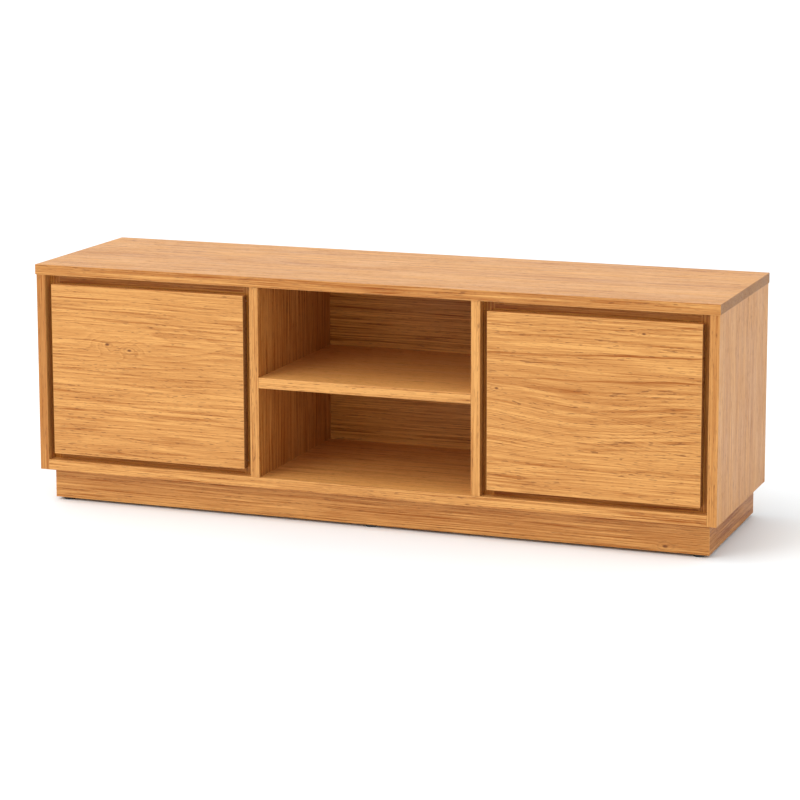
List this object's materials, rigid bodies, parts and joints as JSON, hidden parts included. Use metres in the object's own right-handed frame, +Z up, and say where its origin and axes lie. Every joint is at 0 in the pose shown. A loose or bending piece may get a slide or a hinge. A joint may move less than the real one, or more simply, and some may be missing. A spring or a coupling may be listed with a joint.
{
  "type": "media cabinet",
  "caption": "Low oak media cabinet with a recessed plinth, an open middle bay with a shelf, and an inset hinged door on each side.",
  "frame": {"origin": "on the floor, under the middle of the cabinet", "axes": "+X to the right along the cabinet, doors face -Y, +Z up"},
  "size_m": [1.5, 0.42, 0.52],
  "materials": {
    "oak": "clear satin oil on solid oak",
    "softwood": "sawn and unfinished",
    "nickel_steel": "nickel plated pressed steel",
    "zinc": "satin zinc die casting",
    "screw_steel": "zinc plated",
    "magnet": "dark sintered magnet",
    "catch_plastic": "brown moulded plastic",
    "glide_plastic": "black moulded plastic",
    "clear_rubber": "translucent soft rubber"
  },
  "bodies": {
    "carcass": {"carcass_dowels": "softwood", "shelf_pins": "screw_steel", "back_screws": "screw_steel", "back_panel": "oak", "plinth_screws": "screw_steel", "glides": "glide_plastic", "plinth_front": "oak", "plinth_rear": "oak", "plinth_left": "oak", "plinth_right": "oak", "plinth_rails": "softwood", "plinth_blocks": "softwood", "top_panel": "oak", "bottom_panel": "oak", "centre_shelf": "oak", "left_side": "oak", "left_divider": "oak", "left_inner_shelf": "oak", "right_side": "oak", "right_divider": "oak", "right_inner_shelf": "oak", "arm_screws": "screw_steel", "hinge_block_screws": "screw_steel", "left_hinge_arms": "nickel_steel", "left_hinge_blocks": "zinc", "right_hinge_arms": "nickel_steel", "right_hinge_blocks": "zinc", "catch_magnets": "magnet", "catch_screws": "screw_steel", "left_catch": "catch_plastic", "right_catch": "catch_plastic", "frame_dowels": "softwood", "left_outer_stile": "oak", "left_inner_stile": "oak", "left_top_rail": "oak", "left_bottom_rail": "oak", "right_outer_stile": "oak", "right_inner_stile": "oak", "right_top_rail": "oak", "right_bottom_rail": "oak"},
    "left_door_body": {"left_hinge_cups": "nickel_steel", "left_hinge_pins": "screw_steel", "left_cup_screws": "screw_steel", "left_strike_plate": "nickel_steel", "left_strike_screw": "screw_steel", "left_bumpers": "clear_rubber", "left_door": "oak"},
    "right_door_body": {"right_hinge_cups": "nickel_steel", "right_hinge_pins": "screw_steel", "right_cup_screws": "screw_steel", "right_strike_plate": "nickel_steel", "right_strike_screw": "screw_steel", "right_bumpers": "clear_rubber", "right_door": "oak"}
  },
  "joints": [
    {"name": "left_door_hinge", "type": "hinge", "parent": "carcass", "child": "left_door_body", "pos_m": [-0.706, -0.197, 0.2935], "axis": [0, 0, -1], "range_deg": [0, 95]},
    {"name": "right_door_hinge", "type": "hinge", "parent": "carcass", "child": "right_door_body", "pos_m": [0.706, -0.197, 0.2935], "axis": [0, 0, 1], "range_deg": [0, 95]}
  ]
}
